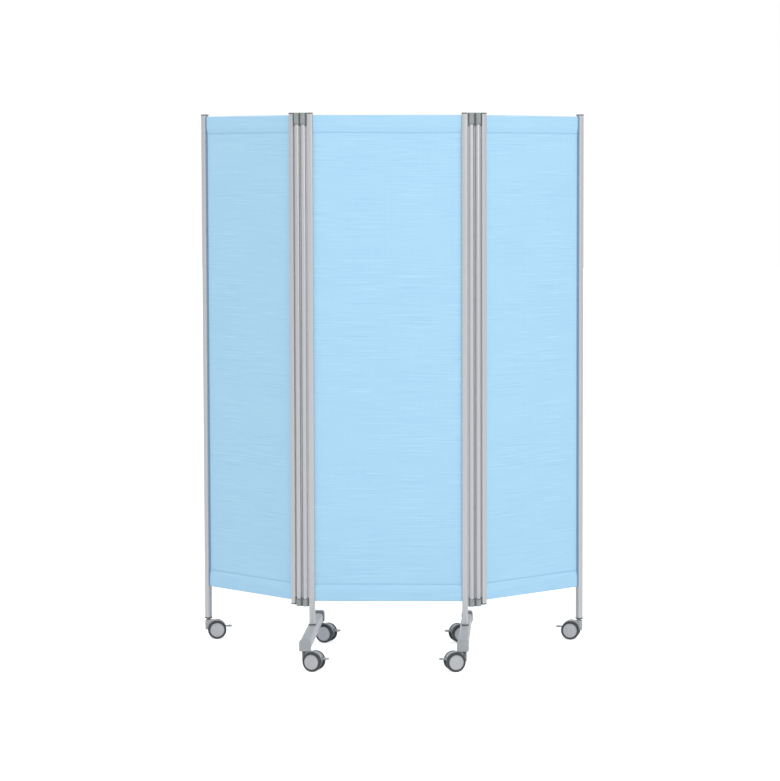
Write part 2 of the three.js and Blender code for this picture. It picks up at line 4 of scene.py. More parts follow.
import bmesh
import bpy
import numpy as np
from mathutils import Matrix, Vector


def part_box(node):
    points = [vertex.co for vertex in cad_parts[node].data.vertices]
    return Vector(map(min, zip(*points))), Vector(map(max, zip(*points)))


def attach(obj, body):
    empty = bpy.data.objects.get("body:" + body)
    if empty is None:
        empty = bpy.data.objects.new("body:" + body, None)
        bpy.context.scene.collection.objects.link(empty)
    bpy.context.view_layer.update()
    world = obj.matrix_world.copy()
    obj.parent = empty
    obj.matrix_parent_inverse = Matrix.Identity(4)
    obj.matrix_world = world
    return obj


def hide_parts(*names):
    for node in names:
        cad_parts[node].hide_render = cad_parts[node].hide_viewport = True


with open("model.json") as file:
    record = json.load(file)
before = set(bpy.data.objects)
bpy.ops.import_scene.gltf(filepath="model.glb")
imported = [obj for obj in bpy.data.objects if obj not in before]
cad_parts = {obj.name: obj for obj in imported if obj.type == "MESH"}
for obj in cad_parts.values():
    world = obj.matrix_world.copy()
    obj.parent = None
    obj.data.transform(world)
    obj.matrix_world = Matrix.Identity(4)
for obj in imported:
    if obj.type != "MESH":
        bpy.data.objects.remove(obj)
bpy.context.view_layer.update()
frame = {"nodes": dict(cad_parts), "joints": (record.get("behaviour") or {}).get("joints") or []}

# Ward privacy screen on wheels: pale blue cloth stretched between aluminium posts, two wings on
# double hinges, painted cross feet and braked twin-wheel casters. Shapes are written in
# millimetres in each piece's own frame, and placed in the room in metres.
joints = {joint["name"]: joint for joint in frame["joints"]}
print("screen: frame loaded with", len(frame["nodes"]), "nodes")


# Places: everything is hung on the frame's joints and boxes. A seat is the place in the room of a
# piece's own origin, and the level direction of its own x.

def jointPlace(name):
    return np.array(joints[name]["pos_m"], float)


def boxOf(node):
    low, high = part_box(node)
    return np.array(low), np.array(high)


def inScene(name, data):
    thing = bpy.data.objects.new(name, data)
    bpy.context.scene.collection.objects.link(thing)
    return thing


def direction(start, end):
    # Level unit vector from one place to another
    run = (end - start)[:2]
    return run / np.linalg.norm(run)


def standing(points, origin, along):
    # A point (x, y, z) in mm goes to origin + x along + y across + z up, in metres
    across = np.array([-along[1], along[0]])
    level = origin[:2] + 0.001 * (points[..., 0:1] * along + points[..., 1:2] * across)
    return np.concatenate([level, 0.001 * points[..., 2:3]], axis=-1)


# Camera, at the place, angle and focal length that the photograph's lines give. The sensor's
# width lies along the picture's longer side, which is its height.

photoCamera = {
    "place": (0.4506, -7.7918, 1.5339), "turnLeft": 0.58, "tiltDown": 3.70,
    "focalPixels": 2500, "pixelsHigh": 781, "sensorWidth": 36.0, "shift": (-0.15, -0.08),
    "clip": (0.1, 60.0),
}


def makeCamera(sizes):
    lens = bpy.data.cameras.new("photoCamera")
    lens.sensor_width = sizes["sensorWidth"]
    lens.lens = sizes["focalPixels"] * sizes["sensorWidth"] / sizes["pixelsHigh"]
    lens.shift_x, lens.shift_y = sizes["shift"]
    lens.clip_start, lens.clip_end = sizes["clip"]
    camera = inScene("photoCamera", lens)
    camera.location = sizes["place"]
    camera.rotation_euler = (
        math.radians(90 - sizes["tiltDown"]), 0.0, math.radians(sizes["turnLeft"]))
    bpy.context.scene.camera = camera


makeCamera(photoCamera)


# Materials

def fromHex(code):
    # sRGB hex to linear, by the sRGB curve
    parts = [int(code[i:i + 2], 16) / 255 for i in (0, 2, 4)]
    return (*[p / 12.92 if p <= 0.04045 else ((p + 0.055) / 1.055) ** 2.4 for p in parts], 1.0)


def addNode(tree, kind, settings=None, links=None):
    # Adds a node, sets its attributes and inputs, and links sockets into it
    node = tree.nodes.new(kind)
    for name, value in (settings or {}).items():
        if isinstance(name, int) or name in node.inputs:
            node.inputs[name].default_value = value
        else:
            setattr(node, name, value)
    for name, socket in (links or {}).items():
        tree.links.new(socket, node.inputs[name])
    return node


def newMaterial(name, settings, layer=None):
    # A material with one Principled shader, its tree, and the place on the object or on a map
    material = bpy.data.materials.new(name)
    material.use_nodes = True
    tree = material.node_tree
    tree.nodes.clear()
    shader = addNode(tree, "ShaderNodeBsdfPrincipled", settings)
    addNode(tree, "ShaderNodeOutputMaterial", links={"Surface": shader.outputs[0]})
    if layer:
        here = addNode(tree, "ShaderNodeUVMap", {"uv_map": layer}).outputs[0]
    else:
        here = addNode(tree, "ShaderNodeTexCoord").outputs["Object"]
    return material, tree, shader, here


def grainOf(tree, socket, scale, detail=3.0, rough=0.55, place=(0, 0, 0)):
    # Noise on coordinates stretched by scale, in cycles per metre along each axis
    mapping = addNode(
        tree, "ShaderNodeMapping", {"Location": place, "Scale": scale}, {"Vector": socket})
    noise = addNode(
        tree, "ShaderNodeTexNoise", {"Scale": 1.0, "Detail": detail, "Roughness": rough},
        {"Vector": mapping.outputs[0]})
    return noise.outputs[0]


# Nearly all of a grain lies between these, and a map range stretches them to its own two ends
grainSpan = {"From Min": 0.3, "From Max": 0.7}


def surface(tree, shader, tones, grain, roughness, clouds, bump=None):
    # Links two hex colours mixed by a grain, a roughness that follows the clouds, and a bump of
    # (height, depth in metres, strength)
    share = addNode(tree, "ShaderNodeMapRange", grainSpan, {"Value": grain})
    color = addNode(
        tree, "ShaderNodeMix", {"data_type": "RGBA", 6: fromHex(tones[0]), 7: fromHex(tones[1])},
        {0: share.outputs[0]})
    rough = addNode(
        tree, "ShaderNodeMapRange", {**grainSpan, "To Min": roughness[0], "To Max": roughness[1]},
        {"Value": clouds})
    tree.links.new(color.outputs[2], shader.inputs["Base Color"])
    tree.links.new(rough.outputs[0], shader.inputs["Roughness"])
    if bump:
        height, distance, strength = bump
        relief = addNode(
            tree, "ShaderNodeBump", {"Distance": distance, "Strength": strength},
            {"Height": height})
        tree.links.new(relief.outputs[0], shader.inputs["Normal"])
    return color.outputs[2]


def anodisedAluminium():
    # Extruded and satin anodised: soft broad highlights, with fine die lines down the length.
    # The real lines are about 0.05 mm apart and are drawn 1 mm apart so that they show.
    material, tree, shader, here = newMaterial("anodisedAluminium", {"Metallic": 0.5})
    lines = grainOf(tree, here, (1000, 1000, 1.5), detail=2.0)
    clouds = grainOf(tree, here, (60, 60, 3))
    surface(
        tree, shader, ("B2B3B6", "BDBEC1"), lines, (0.37, 0.45), clouds, (lines, 0.00004, 0.3))
    return material


def mouldedPlastic(name, dark, light, middle):
    # Injection moulded from a spark-eroded tool: an even, fine pebble that softens highlights.
    # The grain of the tool is 0.1 mm and is drawn at 0.6 mm so that it shows.
    material, tree, shader, here = newMaterial(name, {"IOR": 1.5})
    pebble = grainOf(tree, here, (1600, 1600, 1600), detail=2.0)
    clouds = grainOf(tree, here, (40, 40, 40))
    surface(
        tree, shader, (dark, light), clouds, (middle - 0.05, middle + 0.05), clouds,
        (pebble, 0.00008, 0.35))
    return material


def greyPolyamide():
    # Glass-filled polyamide from a mould, with painted shade in its colour: it darkens from the
    # round of each sleeve towards its sides, into the groove between them and beside the posts.
    # Its pebble is drawn at 0.6 mm too.
    material, tree, shader, here = newMaterial("greyPolyamide", {"IOR": 1.5})
    pebble = grainOf(tree, here, (1600, 1600, 1600), detail=2.0)
    clouds = grainOf(tree, here, (60, 60, 60))
    groove = addNode(tree, "ShaderNodeUVMap", {"uv_map": "groove"}).outputs[0]
    depth = addNode(tree, "ShaderNodeSeparateXYZ", links={0: groove}).outputs[0]
    # Painted shade: the colour darkens towards the groove and towards the sides beside the posts
    paintedShade = addNode(
        tree, "ShaderNodeMapRange",
        {"From Min": 0.58, "From Max": 0.95, "To Max": 0.75}, {"Value": depth})
    unshadedColor = surface(
        tree, shader, ("8F9495", "9BA0A1"), clouds, (0.38, 0.46), clouds, (pebble, 0.00008, 0.35))
    shadedColor = addNode(
        tree, "ShaderNodeMix", {"data_type": "RGBA", 7: fromHex("55595B")},
        {0: paintedShade.outputs[0], 6: unshadedColor})
    tree.links.new(shadedColor.outputs[2], shader.inputs["Base Color"])
    return material


def powderCoat():
    # Epoxy powder on steel: satin, with the slight orange peel of the melted powder, 2 mm across
    material, tree, shader, here = newMaterial("powderCoat", {"IOR": 1.5})
    peel = grainOf(tree, here, (500, 500, 500), detail=1.0)
    clouds = grainOf(tree, here, (12, 12, 12))
    surface(
        tree, shader, ("A7A9AB", "B1B3B5"), clouds, (0.38, 0.46), clouds, (peel, 0.0001, 0.25))
    return material


# Metres on the cloth's own map: the level of its middle and how far from it the seams lie, where
# a wing's map starts, and where the painted shade along a wing's outer edge does
clothMap = {
    "middle": 0.9325, "seamFromMiddle": 0.7065, "seamHalf": 0.0012, "seamFade": 0.0026,
    "wingStart": 1.0, "edgeShadeStart": 1.187, "edgeShadeFade": 0.0015,
}


def wovenCloth(places):
    # Plain-woven polyester with slub yarn: here and there a thick place in the weft makes a short,
    # level streak, lighter or darker, a few together, and the warp's make faint upright ones. The
    # hems' seams pucker, and a thin darker line of painted shade runs along them; a band of
    # painted shade runs down a wing's outer edge, beside its post. Slubs are 1 mm thick and
    # threads 0.5 mm
    # apart: they are drawn 3 and 10 mm so that they show.
    material, tree, shader, weave = newMaterial(
        "wovenCloth",
        {"Roughness": 0.85, "Sheen Weight": 0.12, "Sheen Roughness": 0.5, "IOR": 1.45}, "weave")
    slub = grainOf(tree, weave, (6, 300, 1), detail=1.0, rough=0.5)
    thick, thin = (
        addNode(
            tree, "ShaderNodeMapRange", {"From Min": none, "From Max": full},
            {"Value": slub}).outputs[0]
        for none, full in ((0.62, 0.70), (0.38, 0.30)))
    streaks = addNode(tree, "ShaderNodeMath", {"operation": "SUBTRACT"}, {0: thick, 1: thin})
    cloud, warp, gathering = (
        addNode(
            tree, "ShaderNodeMapRange", {**grainSpan, "To Min": low, "To Max": high},
            {"Value": grain}).outputs[0]
        for grain, low, high in (
            (grainOf(tree, weave, (5, 14, 1), detail=2.0, place=(7, 3, 0)), 0.34, 0.52),
            (grainOf(tree, weave, (220, 6, 1), detail=2.0, place=(3, 9, 0)), -0.04, 0.08),
            (grainOf(tree, weave, (3, 12, 1), 1.0, 0.5, (11, 5, 0)), -0.4, 2.6)))
    ground = addNode(tree, "ShaderNodeMath", {"operation": "ADD"}, {0: cloud, 1: warp})
    clusters = addNode(
        tree, "ShaderNodeMath", {"operation": "MULTIPLY"}, {0: streaks.outputs[0], 1: gathering})
    factor = addNode(
        tree, "ShaderNodeMath", {"operation": "MULTIPLY_ADD", 1: 0.8},
        {0: clusters.outputs[0], 2: ground.outputs[0]})
    color = addNode(
        tree, "ShaderNodeMix", {"data_type": "RGBA", 6: fromHex("A6D4F3"), 7: fromHex("B7E1FA")},
        {0: factor.outputs[0]})
    # Height on the cloth, folded about its middle, is the same at the upper and the lower seam
    place = addNode(tree, "ShaderNodeSeparateXYZ", links={0: weave})
    level = place.outputs[1]
    for distance in (places["middle"], places["seamFromMiddle"]):
        away = addNode(tree, "ShaderNodeMath", {"operation": "SUBTRACT", 1: distance}, {0: level})
        level = addNode(
            tree, "ShaderNodeMath", {"operation": "ABSOLUTE"}, {0: away.outputs[0]}).outputs[0]
    # Painted shade: a thin darker line along each seam, where the hem puckers
    seam = addNode(
        tree, "ShaderNodeMapRange",
        {"From Min": places["seamHalf"], "From Max": places["seamFade"], "To Min": 1.0,
         "To Max": 0.0}, {"Value": level})
    # Painted shade: a darker band along a wing's outer edge, beside its post
    edgeShade = addNode(
        tree, "ShaderNodeMapRange",
        {"From Min": places["edgeShadeStart"], "From Max": places["edgeShadeStart"] + places["edgeShadeFade"],
         "To Max": 0.85}, {"Value": place.outputs[0]})
    for share, darker in ((seam, "9CC8E6"), (edgeShade, "6C9CC8")):
        color = addNode(
            tree, "ShaderNodeMix", {"data_type": "RGBA", 7: fromHex(darker)},
            {0: share.outputs[0], 6: color.outputs[2]})
    bands = (
        addNode(
            tree, "ShaderNodeTexWave",
            {"wave_type": "BANDS", "bands_direction": axis, "Scale": 31.0, "Distortion": 0.4},
            {"Vector": weave}).outputs[0]
        for axis in ("X", "Y"))
    cross = addNode(
        tree, "ShaderNodeMath", {"operation": "ADD"}, {0: next(bands), 1: next(bands)})
    relief = addNode(
        tree, "ShaderNodeMath", {"operation": "MULTIPLY_ADD", 1: 0.4},
        {0: cross.outputs[0], 2: thick})
    bump = addNode(
        tree, "ShaderNodeBump", {"Distance": 0.0003, "Strength": 0.4},
        {"Height": relief.outputs[0]})
    tree.links.new(color.outputs[2], shader.inputs["Base Color"])
    tree.links.new(bump.outputs[0], shader.inputs["Normal"])
    return material


def tyreRubber():
    # Cast polyurethane tread: dark grey and matt, a little paler where it picks up floor dust
    material, tree, shader, here = newMaterial("tyreRubber", {"IOR": 1.5})
    dust = grainOf(tree, here, (90, 90, 90), detail=5.0)
    surface(tree, shader, ("2D2F32", "444749"), dust, (0.5, 0.68), dust, (dust, 0.0001, 0.3))
    return material


def platedSteel():
    # Zinc-plated steel: grey, metallic and slightly mottled
    material, tree, shader, here = newMaterial("platedSteel", {"Metallic": 1.0})
    mottle = grainOf(tree, here, (250, 250, 250))
    surface(tree, shader, ("77797C", "8C8E91"), mottle, (0.28, 0.4), mottle)
    return material


finishes = {
    "aluminium": anodisedAluminium(),
    "cap": mouldedPlastic("darkPolyamide", "3C3B40", "47464B", 0.5),
    "bracket": greyPolyamide(),
    "bush": mouldedPlastic("darkBush", "3A3D40", "464A4D", 0.5),
    "hood": mouldedPlastic("paleNylon", "A3A3A5", "AFAFB0", 0.42),
    # Painted shade: the drums of the casters under the feet, darker than the wing casters' pale
    # ones
    "drum": mouldedPlastic("drumPaintedShade", "626467", "6E7073", 0.45),
    "disc": mouldedPlastic("paleDisc", "B4B5B8", "BEBFC2", 0.4),
    "seal": mouldedPlastic("softSeal", "B0B2B5", "BABCBF", 0.6),
    # Painted shade: the dark band before a foot's back cap
    "shadeBand": mouldedPlastic("paintedShadeBand", "5A5863", "65636C", 0.6),
    "footCap": mouldedPlastic("greyNylon", "9B9EA0", "A5A8AA", 0.45),
    # Dark plastic for the foot's collars, and painted shade for the swivel rings under the feet
    "collar": mouldedPlastic("darkCollarAndRingShade", "3E4045", "494B50", 0.55),
    "paint": powderCoat(),
    "cloth": wovenCloth(clothMap),
    "tyre": tyreRubber(),
    "steel": platedSteel(),
}
print("screen:", len(finishes), "materials")


# Meshes: a shell is a grid of points whose columns run round it and meet. Its first and last rows
# are closed flat, or meet each other where it is a ring. Edges sharper than 32 degrees stay sharp.

sharpAngle = math.radians(32)


def makePiece(name, shells, seat, body, finish, replaced=(), rings=False, ownMap=None):
    points, faces, first = [], [], 0
    for grid in shells:
        rows, columns = grid.shape[:2]
        row = np.arange(rows if rings else rows - 1)[:, None]
        column = np.arange(columns)[None, :]
        nextRow, nextColumn = (row + 1) % rows, (column + 1) % columns
        quads = np.stack([
            row * columns + column, row * columns + nextColumn,
            nextRow * columns + nextColumn, nextRow * columns + column], axis=-1)
        faces += (first + quads.reshape(-1, 4)).tolist()
        if not rings:
            faces.append((first + column[0, ::-1]).tolist())
            faces.append((first + (rows - 1) * columns + column[0]).tolist())
        points.append(standing(grid, *seat).reshape(-1, 3))
        first += rows * columns
    mesh = bpy.data.meshes.new(name)
    mesh.from_pydata(np.concatenate(points).tolist(), [], faces)
    if ownMap is not None:
        layer, places = ownMap
        corners = np.empty(len(mesh.loops), np.int32)
        mesh.loops.foreach_get("vertex_index", corners)
        mesh.uv_layers.new(name=layer).data.foreach_set("uv", places[corners].ravel())
    work = bmesh.new()
    work.from_mesh(mesh)
    bmesh.ops.recalc_face_normals(work, faces=work.faces)
    work.to_mesh(mesh)
    work.free()
    # The walls are smooth, and the flat ends of many corners are not
    sides = np.empty(len(mesh.polygons), np.int32)
    mesh.polygons.foreach_get("loop_total", sides)
    mesh.polygons.foreach_set("use_smooth", sides == 4)
    mesh.set_sharp_from_angle(angle=sharpAngle)
    mesh.materials.append(finishes[finish])
    piece = inScene(name, mesh)
    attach(piece, body)
    if replaced:
        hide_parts(*replaced)
    return piece


def arcOf(x, y, radius, start, end, steps):
    # Points at radius from (x, y), from one angle to the other in degrees
    turn = np.radians(np.linspace(start, end, steps + 1))
    return np.stack([x + radius * np.cos(turn), y + radius * np.sin(turn)], axis=1)


def circle(x, y, radius, steps):
    return arcOf(x, y, radius, 0, 360, steps)[:-1]


def softened(corners, radius, steps=6):
    # Each corner of a polygon becomes a quadratic curve from a radius before it to one after it
    corners = np.array(corners, float)
    back = np.roll(corners, 1, axis=0) - corners
    ahead = np.roll(corners, -1, axis=0) - corners
    reach = np.broadcast_to(np.asarray(radius, float), len(corners))[:, None]
    start = corners + back / np.linalg.norm(back, axis=1, keepdims=True) * reach
    end = corners + ahead / np.linalg.norm(ahead, axis=1, keepdims=True) * reach
    t = np.linspace(0, 1, steps + 1)[None, :, None]
    curve = (
        (1 - t) ** 2 * start[:, None] + 2 * t * (1 - t) * corners[:, None] + t ** 2 * end[:, None])
    return curve.reshape(-1, 2)


# An "outline" in a dictionary holds the numbers that rectangle takes.

def rectangle(width, height, radius, x=0.0, y=0.0):
    left, right, low, high = x - width / 2, x + width / 2, y - height / 2, y + height / 2
    return softened([(left, low), (right, low), (right, high), (left, high)], radius)


def carried(outline, heights, insets):
    # The outline at each height, moved inwards by that height's inset
    run = np.roll(outline, -1, axis=0) - np.roll(outline, 1, axis=0)
    run /= np.linalg.norm(run, axis=1, keepdims=True)
    inward = np.stack([-run[:, 1], run[:, 0]], axis=1)
    level = outline[None] + inward[None] * np.reshape(insets, (-1, 1, 1))
    rise = np.broadcast_to(np.reshape(heights, (-1, 1, 1)), level.shape[:2] + (1,))
    return np.concatenate([level, rise], axis=2)


def eased(outline, low, high, lowEase, highEase, steps=4):
    # A straight extrusion with quarter-round edges: ease (1 - cos a) along, ease (1 - sin a) in
    turn = np.linspace(0, np.pi / 2, steps + 1)
    heights = np.concatenate(
        [low + lowEase * (1 - np.cos(turn)), (high - highEase * (1 - np.cos(turn)))[::-1]])
    insets = np.concatenate([lowEase * (1 - np.sin(turn)), (highEase * (1 - np.sin(turn)))[::-1]])
    return carried(outline, heights, insets)


def turned(profile, sides=64):
    # A profile of (radius, height) turned about z
    profile = np.array(profile, float)
    turn = np.linspace(0, 2 * np.pi, sides, endpoint=False)
    radius, height = profile[:, :1], profile[:, 1:]
    return np.stack(
        np.broadcast_arrays(radius * np.cos(turn), radius * np.sin(turn), height), axis=-1)


def acrossY(grid):
    # What was drawn upright in (x, y) and carried along z is laid with y up and z across
    return grid[..., [0, 2, 1]]


# Posts: extruded bars with a crowned front and back and a keyhole slot for the cloth, and beside
# a hinge a round barrel on a neck

post = {
    "width": 18.0, "depth": 20.0, "corner": 3.0, "crown": 0.6,
    "mouth": 1.5, "slotRadius": 3.1, "wall": 1.6, "endEase": 0.2,
    "standOff": 3.0, "barrelRadius": 8.25, "barrelInset": 3.3, "barrelEase": 0.4,
    "neck": 7.0, "neckLap": 2.0, "neckCorner": 0.3, "neckInset": 27.3, "neckTopInset": 40.3,
}


def hingeReach(sizes):
    # From the middle of a post to the middle of its barrel
    return sizes["width"] / 2 + sizes["standOff"] + sizes["barrelRadius"]


def barOutline(sizes):
    # Round corners tangent to flat sides and to wide arcs that crown the front and back. The wide
    # arc's radius is (reach^2 + crown^2) / (2 crown), and its centre lies a hub behind the middle.
    halfWidth, halfDepth, corner = sizes["width"] / 2, sizes["depth"] / 2, sizes["corner"]
    halfMouth, slotRadius = sizes["mouth"] / 2, sizes["slotRadius"]
    reach = halfWidth - corner
    wide = (reach ** 2 + sizes["crown"] ** 2) / (2 * sizes["crown"])
    hub = wide - halfDepth
    cornerY = math.sqrt((wide - corner) ** 2 - reach ** 2) - hub
    lean = math.degrees(math.asin(reach / (wide - corner)))
    mouthAngle = math.degrees(math.asin(halfMouth / slotRadius))
    slotX = halfWidth - sizes["wall"] - math.sqrt(slotRadius ** 2 - halfMouth ** 2)
    return np.concatenate([
        arcOf(reach, -cornerY, corner, lean - 90, 0, steps=6),
        [(halfWidth, -halfMouth)],
        arcOf(slotX, 0, slotRadius, 360 - mouthAngle, mouthAngle, steps=20),
        [(halfWidth, halfMouth)],
        arcOf(reach, cornerY, corner, 0, 90 - lean, steps=6),
        arcOf(0, -hub, wide, 90 - lean, 90 + lean, steps=8)[1:-1],
        arcOf(-reach, cornerY, corner, 90 + lean, 180, steps=6),
        arcOf(-reach, -cornerY, corner, 180, 270 - lean, steps=6),
        arcOf(0, hub, wide, 270 - lean, 270 + lean, steps=8)[1:-1],
    ])


def makePost(name, body, seat, hinged, sizes):
    # The barrel and neck stop short of the brackets' ends, so that the sleeves turn on the barrel
    low, high = boxOf(name)
    end, ease = sizes["endEase"], sizes["barrelEase"]
    shells = [eased(barOutline(sizes), low[2] * 1000, high[2] * 1000, end, end, steps=1)]
    if hinged:
        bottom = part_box("hinge_bracket_bottom_left")[0][2] * 1000
        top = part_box("hinge_bracket_top_left")[1][2] * 1000
        barrel = circle(-hingeReach(sizes), 0, sizes["barrelRadius"], steps=72)
        shells.append(eased(
            barrel, bottom + sizes["barrelInset"], top - sizes["barrelInset"], ease, ease))
        neck = rectangle(
            sizes["standOff"] + 2 * sizes["neckLap"], sizes["neck"], sizes["neckCorner"],
            -(sizes["width"] + sizes["standOff"]) / 2)
        shells.append(eased(
            neck, bottom + sizes["neckInset"], top - sizes["neckTopInset"], end, end, steps=1))
    makePiece("extrusion_" + name, shells, seat, body, "aluminium", [name])


postCap = {
    "outline": (18.0, 20.0, 3.6), "plate": 3.0, "ease": 0.9,
    "tongueOutline": (6.0, 20 / 1.4, 0.8, -4.5),
    "tongue": 6.0, "tongueEase": 0.2, "tongueLap": 1.0,
}


def makePostCap(name, body, seat, upright, sizes):
    # A plate with an eased outer edge, and the short tongue that holds it in the post
    low, high = boxOf(name)
    plate, tongue = rectangle(*sizes["outline"]), rectangle(*sizes["tongueOutline"])
    face, away = (high[2] * 1000, -1) if upright else (low[2] * 1000, 1)
    inner, tongueEase = face + away * sizes["plate"], sizes["tongueEase"]
    (under, underEase), (over, overEase) = sorted([(face, sizes["ease"]), (inner, 0)])
    tongueEnds = sorted([face + away * sizes["tongueLap"], inner + away * sizes["tongue"]])
    shells = [eased(plate, under, over, underEase, overEase, steps=6),
              eased(tongue, *tongueEnds, tongueEase, tongueEase, steps=1)]
    makePiece("cover_" + name, shells, seat, body, "cap", [name])


socketPlug = {"outline": (18.0, 20.0, 3.6), "flange": 4.0, "ease": 0.6}


def makeSocketPlug(name, body, seat, sizes):
    # The caster socket's flange closes the post's foot
    low = boxOf(name)[0][2] * 1000
    flange = eased(rectangle(*sizes["outline"]), low, low + sizes["flange"], sizes["ease"], 0)
    makePiece("flange_" + name, [flange], seat, body, "cap", [name])


# Hinge brackets: two round sleeves joined at a waist, with scooped rims, a dark bush pressed into
# each sleeve, and above the lower bracket the seal strip between the barrels

bracket = {
    "wall": 1.7, "runningGap": 0.35, "floor": 3.0, "edge": 1.0, "rimEase": 0.5,
    "heightTop": 40.0, "heightBottom": 27.0, "scoopRadius": 10.0, "scoopDrop": 4.0,
    "waist": 6.0, "waistSet": 0.4, "waistTop": 0.6,
    "bushWall": 0.9, "bushGap": 0.12, "bushLip": 1.5, "bushRise": 1.5, "bushEase": 0.2,
    "sealOutline": (3.8, 7.0, 1.2), "sealLap": 2.0, "sealEase": 0.2,
    "bendRows": 5, "sideRows": 12, "boreRows": 6, "sides": 72,
}


def sleeve(x, height, bore, wall, rim, sizes):
    # A cup round (x, 0). Rows run up its outside, over the rim and down its bore to the floor: a
    # row a share of the way up stands at start + (rimZ - drop - start) share, and the rim dips by
    # sqrt(scoopRadius^2 - across^2) - scoopDrop.
    outer, edge = bore + wall, sizes["edge"]
    bends, sides, bores = sizes["bendRows"], sizes["sideRows"], sizes["boreRows"]
    bend = np.linspace(0, np.pi / 2, bends)
    rise = np.linspace(0, 1, sides)
    radius = np.concatenate([
        outer - edge * (1 - np.sin(bend)), np.full(sides, outer), outer - rim * (1 - np.cos(bend)),
        bore + rim * (1 - np.sin(bend)), np.full(bores, bore)])[:, None]
    start = np.concatenate([
        edge * (1 - np.cos(bend)), np.full(sides, edge),
        np.full(2 * bends + bores, sizes["floor"])])[:, None]
    share = np.concatenate([
        np.zeros(bends), rise, np.ones(2 * bends), np.linspace(1, 0, bores)])[:, None]
    drop = np.concatenate([
        np.zeros(bends), rise * rim, rim * (1 - np.sin(bend)), rim * (1 - np.cos(bend)),
        np.linspace(rim, 0, bores)])[:, None]
    turn = np.linspace(0, 2 * np.pi, sizes["sides"], endpoint=False)
    across = radius * np.cos(turn)
    dip = np.sqrt(np.clip(sizes["scoopRadius"] ** 2 - across ** 2, 0, None)) - sizes["scoopDrop"]
    rimZ = height - np.clip(dip, 0, None)
    z = start + (rimZ - drop - start) * share
    return np.stack([x + across, radius * np.sin(turn), z], axis=-1)


def makeBracket(name, body, seat, spacing, upsideDown, sizes):
    low, high = boxOf(name)
    height = sizes["heightTop"] if upsideDown else sizes["heightBottom"]
    rise = np.array([0, 0, 1000 * (high[2] if upsideDown else low[2])])
    turn = np.array([1, 1, -1 if upsideDown else 1])
    bore = post["barrelRadius"] + sizes["runningGap"]
    middle = bore + sizes["wall"] / 2
    hubs = (0, spacing)
    shells = [sleeve(x, height, bore, sizes["wall"], sizes["rimEase"], sizes) for x in hubs]
    # The waist's ends follow the middle of the two walls
    edge = math.degrees(math.asin(sizes["waist"] / 2 / middle))
    waist = np.concatenate([
        arcOf(0, 0, middle, -edge, edge, steps=10),
        arcOf(spacing, 0, middle, 180 - edge, 180 + edge, steps=10)])
    shells.append(eased(
        waist, sizes["waistSet"], height - sizes["waistTop"], sizes["edge"], sizes["waistTop"]))
    # How far round to the side a point of a sleeve is, from 0 in front to 1 at the groove
    around = [np.abs(shell[..., 0] - x) / (bore + sizes["wall"])
              for shell, x in zip(shells, hubs)]
    around.append(np.ones(shells[2].shape[:2]))
    # The bracket's colour darkens with this share, as painted shade
    groove = np.concatenate([share.ravel() for share in around])
    makePiece(
        "sleeves_" + name, [shell * turn + rise for shell in shells], seat, body,
        "bracket", [name],
        ownMap=("groove", np.stack([groove, groove], axis=1)))
    # The bushes show as a thin lip along the rim
    lipHeight = height + sizes["bushLip"] - sizes["bushRise"]
    lipBore = post["barrelRadius"] + sizes["bushGap"]
    lips = [sleeve(x, lipHeight, lipBore, sizes["bushWall"], sizes["bushEase"], sizes)
            + np.array([0, 0, sizes["bushRise"]]) for x in hubs]
    makePiece(
        "bush_" + name, [lip * turn + rise for lip in lips], seat, body, "bush")
    if not upsideDown:
        strip, ease = rectangle(*sizes["sealOutline"], spacing / 2), sizes["sealEase"]
        start = low[2] * 1000 + height - sizes["sealLap"]
        seal = eased(strip, start, high[2] * 1000, ease, ease, steps=1)
        makePiece("seal_" + body, [seal], seat, body, "seal")


# Cloth: one stretched panel, thick where its hems hold the flat rails, and sewn across. Each of
# its slow waves has a strength, a length across and one up in mm per radian, and a phase. The
# thread is a profile of (radius, share of the stitch's length).

cloth = {
    "thickness": 1.0, "hem": 57.0, "railHeight": 34.0, "hemHalf": 4.3, "turnIn": 0.45,
    "pinch": 0.25, "pinchSpan": 1.2, "seatGap": 0.3, "slotReach": 3.2, "flare": 6.0,
    "foldRows": 8, "railRows": 8, "railStart": 8.0,
    "slopeRows": 9, "slopeStart": 36.0, "slopeEnd": 1.0,
    "seamRows": (-0.6, 0, 0.6, 1.4), "hemRows": (-0.1, 0.1), "hemMargin": 2.0,
    "innerRows": 90, "columns": 61,
    "wave": 0.5, "stillEdge": 50.0, "stillFade": 120.0,
    "waves": ((1.0, 61.0, 143.0, 0.0), (0.7, 37.0, -211.0, 1.3), (0.5, math.inf, 57.0, 0.4)),
    "stitchLine": 54.0, "stitchPitch": 4.6, "stitchLength": 3.4, "stitchMargin": 8.0,
    "thread": ((0.12, -0.5), (0.34, -0.42), (0.36, 0.42), (0.12, 0.5)),
}


def hemProfile(fromEdge, sizes):
    # Half thickness by the distance from the nearer hem's edge: a round fold, the rail's flat
    # pocket, a slope 3 t^2 - 2 t^3 down to the seam, its pinch, and the single cloth beyond it
    fold, half = sizes["hemHalf"], sizes["thickness"] / 2
    rounded = np.sqrt(np.clip(fold ** 2 - (fold - np.minimum(fromEdge, fold)) ** 2, 0, None))
    rail, stitch = sizes["railHeight"], sizes["stitchLine"]
    t = np.clip((fromEdge - rail) / (stitch - rail), 0, 1)
    slope = fold + (half + sizes["turnIn"] - fold) * (3 * t ** 2 - 2 * t ** 3)
    seam = sizes["pinch"] * np.exp(-((fromEdge - stitch) / sizes["pinchSpan"]) ** 2)
    single = np.where(fromEdge > sizes["hem"], half, slope - seam)
    return np.minimum(rounded, single)


